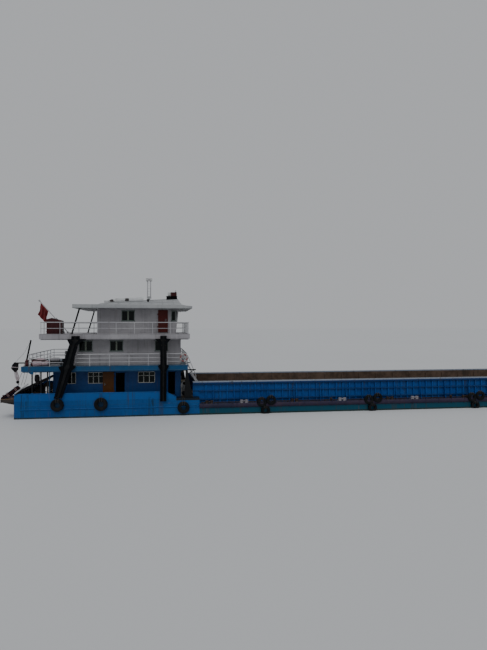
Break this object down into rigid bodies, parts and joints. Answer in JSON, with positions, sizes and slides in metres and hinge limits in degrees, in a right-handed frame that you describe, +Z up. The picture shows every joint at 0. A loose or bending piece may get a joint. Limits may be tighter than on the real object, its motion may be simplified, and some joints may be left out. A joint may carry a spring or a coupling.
{
  "type": "self-propelled river sand barge, 1:2 scale model",
  "caption": "Self-propelled river cargo barge with an open hold, a stern house of several storeys and a raked bow",
  "frame": {"origin": "on the flat bottom, on the centreline, amidships of the hull", "axes": "+X forward to the bow, +Y to port, +Z up"},
  "size_m": [28.575, 5.4806, 6.915],
  "materials": {
    "hull_blue": "weathered blue gloss paint",
    "hold_blue": "weathered dark blue paint",
    "house_white": "off-white paint, rust-stained",
    "roof_grey": "faded grey paint",
    "rub_red": "worn dull red paint",
    "door_orange": "worn orange-brown paint",
    "door_red": "worn dark red paint",
    "rubber": "old matt black rubber",
    "canvas": "black tarpaulin",
    "flag_cloth": "plain red flag cloth",
    "bronze": "dull bronze",
    "steel": "dark galvanised and rusty steel"
  },
  "bodies": {
    "root": {"hull_stern": "hull_blue", "hull_bottom": "hold_blue", "hull_bow": "hull_blue", "bulwark_aft": "hull_blue", "bulwark_bow": "hull_blue", "coaming_aft": "hold_blue", "coaming_fore": "hold_blue", "boat_deck": "hull_blue", "bridge_deck": "house_white", "wheelhouse_roof": "roof_grey", "fore_ladder": "house_white", "aft_ladder": "house_white", "flagstaff": "house_white", "flag": "flag_cloth", "deck_tank": "door_red", "stern_canopy": "canvas", "stern_davit": "steel", "windlass_frame": "steel", "hull_side_port": "hold_blue", "bulwark_port": "hull_blue", "coaming_port": "hold_blue", "rub_rail_port": "rub_red", "fender_column_aft_port": "rubber", "fender_column_fore_port": "rubber", "hull_side_starboard": "hold_blue", "bulwark_starboard": "hull_blue", "coaming_starboard": "hold_blue", "rub_rail_starboard": "rub_red", "fender_column_aft_starboard": "rubber", "fender_column_fore_starboard": "rubber", "house_wall_port": "hold_blue", "house_wall_starboard": "hold_blue", "house_wall_aft": "hold_blue", "house_wall_fore": "hold_blue", "cabin_wall_port": "house_white", "cabin_wall_starboard": "house_white", "cabin_wall_aft": "house_white", "cabin_wall_fore": "house_white", "wheelhouse_wall_port": "house_white", "wheelhouse_wall_starboard": "house_white", "wheelhouse_wall_aft": "house_white", "wheelhouse_wall_fore": "house_white", "boat_rail_port": "house_white", "boat_rail_starboard": "house_white", "boat_rail_aft": "house_white", "boat_rail_fore": "house_white", "bridge_rail_port": "house_white", "bridge_rail_starboard": "house_white", "bridge_rail_aft": "house_white", "bridge_rail_fore": "house_white"},
    "propeller_port": {"propeller_port": "bronze"},
    "propeller_starboard": {"propeller_starboard": "bronze"},
    "rudder_port": {"rudder_port": "hull_blue"},
    "rudder_starboard": {"rudder_starboard": "hull_blue"},
    "house_door_port": {"house_door_port": "door_orange"},
    "house_door_starboard": {"house_door_starboard": "door_orange"},
    "wheelhouse_door_port": {"wheelhouse_door_port": "door_red"},
    "wheelhouse_door_starboard": {"wheelhouse_door_starboard": "door_red"},
    "mast": {"mast": "steel"},
    "windlass_drum": {"windlass_drum": "steel"}
  },
  "joints": [
    {"name": "propeller_port_spin", "type": "hinge", "parent": "root", "child": "propeller_port", "pos_m": [-11.275, 1.2, 0.5], "axis": [1, 0, 0], "continuous": true},
    {"name": "rudder_port_turn", "type": "hinge", "parent": "root", "child": "rudder_port", "pos_m": [-12.05, 1.2, 0.5], "axis": [0, 0, 1], "range_deg": [-35, 35]},
    {"name": "house_door_port_swing", "type": "hinge", "parent": "root", "child": "house_door_port", "pos_m": [-10.24, 2.05, 2.4], "axis": [0, 0, -1], "range_deg": [0, 180]},
    {"name": "wheelhouse_door_port_swing", "type": "hinge", "parent": "root", "child": "wheelhouse_door_port", "pos_m": [-8.5, 2.075, 5], "axis": [0, 0, 1], "range_deg": [0, 170]},
    {"name": "propeller_starboard_spin", "type": "hinge", "parent": "root", "child": "propeller_starboard", "pos_m": [-11.275, -1.2, 0.5], "axis": [1, 0, 0], "continuous": true},
    {"name": "rudder_starboard_turn", "type": "hinge", "parent": "root", "child": "rudder_starboard", "pos_m": [-12.05, -1.2, 0.5], "axis": [0, 0, 1], "range_deg": [-35, 35]},
    {"name": "house_door_starboard_swing", "type": "hinge", "parent": "root", "child": "house_door_starboard", "pos_m": [-10.24, -2.05, 2.4], "axis": [0, 0, 1], "range_deg": [0, 180]},
    {"name": "wheelhouse_door_starboard_swing", "type": "hinge", "parent": "root", "child": "wheelhouse_door_starboard", "pos_m": [-8.5, -2.075, 5], "axis": [0, 0, -1], "range_deg": [0, 170]},
    {"name": "mast_fold", "type": "hinge", "parent": "root", "child": "mast", "pos_m": [-8.88, 0, 6.065], "axis": [0, -1, 0], "range_deg": [0, 90]},
    {"name": "windlass_spin", "type": "hinge", "parent": "root", "child": "windlass_drum", "pos_m": [11.8, 0, 2.275], "axis": [0, 1, 0], "continuous": true}
  ],
  "couplings": [
    {"joint": "rudder_port_turn", "follows": "rudder_starboard_turn", "ratio": 1}
  ]
}
